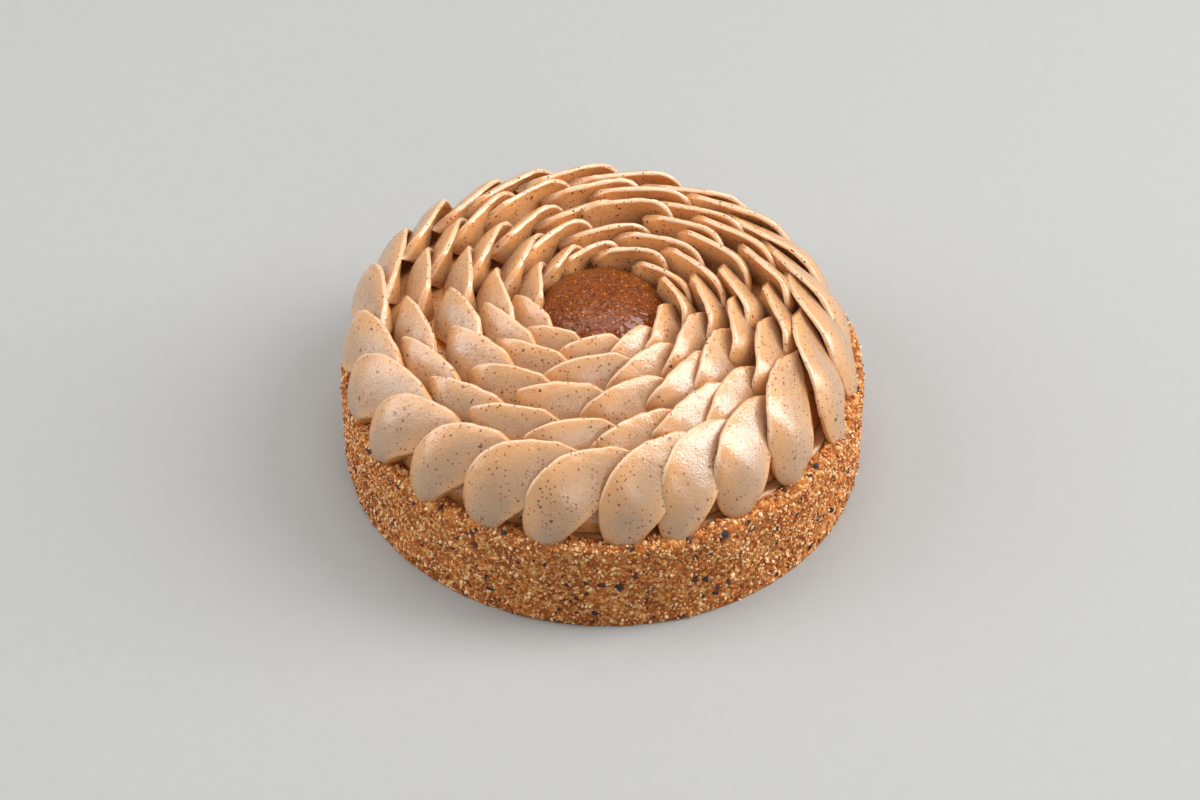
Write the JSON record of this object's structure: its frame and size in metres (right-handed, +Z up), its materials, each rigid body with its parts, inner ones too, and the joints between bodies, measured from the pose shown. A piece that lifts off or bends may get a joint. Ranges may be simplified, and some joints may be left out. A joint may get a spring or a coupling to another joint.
{
  "type": "hazelnut tart",
  "caption": "Round tart: straight-sided crumb case, cream filling, overlapping rings of piped hazelnut cream petals and a glossy praline pool in the middle.",
  "frame": {"origin": "middle of the flat base, on the surface that the tart stands on", "axes": "+Z up, -Y towards the side that faces the camera, +X to its right"},
  "size_m": [0.1002, 0.1005, 0.0398],
  "materials": {
    "crumb": "rough baked crumb, golden brown with dark flecks",
    "filling_cream": "smooth pale cream",
    "hazelnut_cream": "satin, pale beige with fine brown specks",
    "praline_paste": "wet gloss, grainy caramel brown"
  },
  "bodies": {
    "root": {"crumb_case": "crumb", "filling": "filling_cream", "piped_cream": "hazelnut_cream", "praline": "praline_paste"}
  },
  "joints": []
}
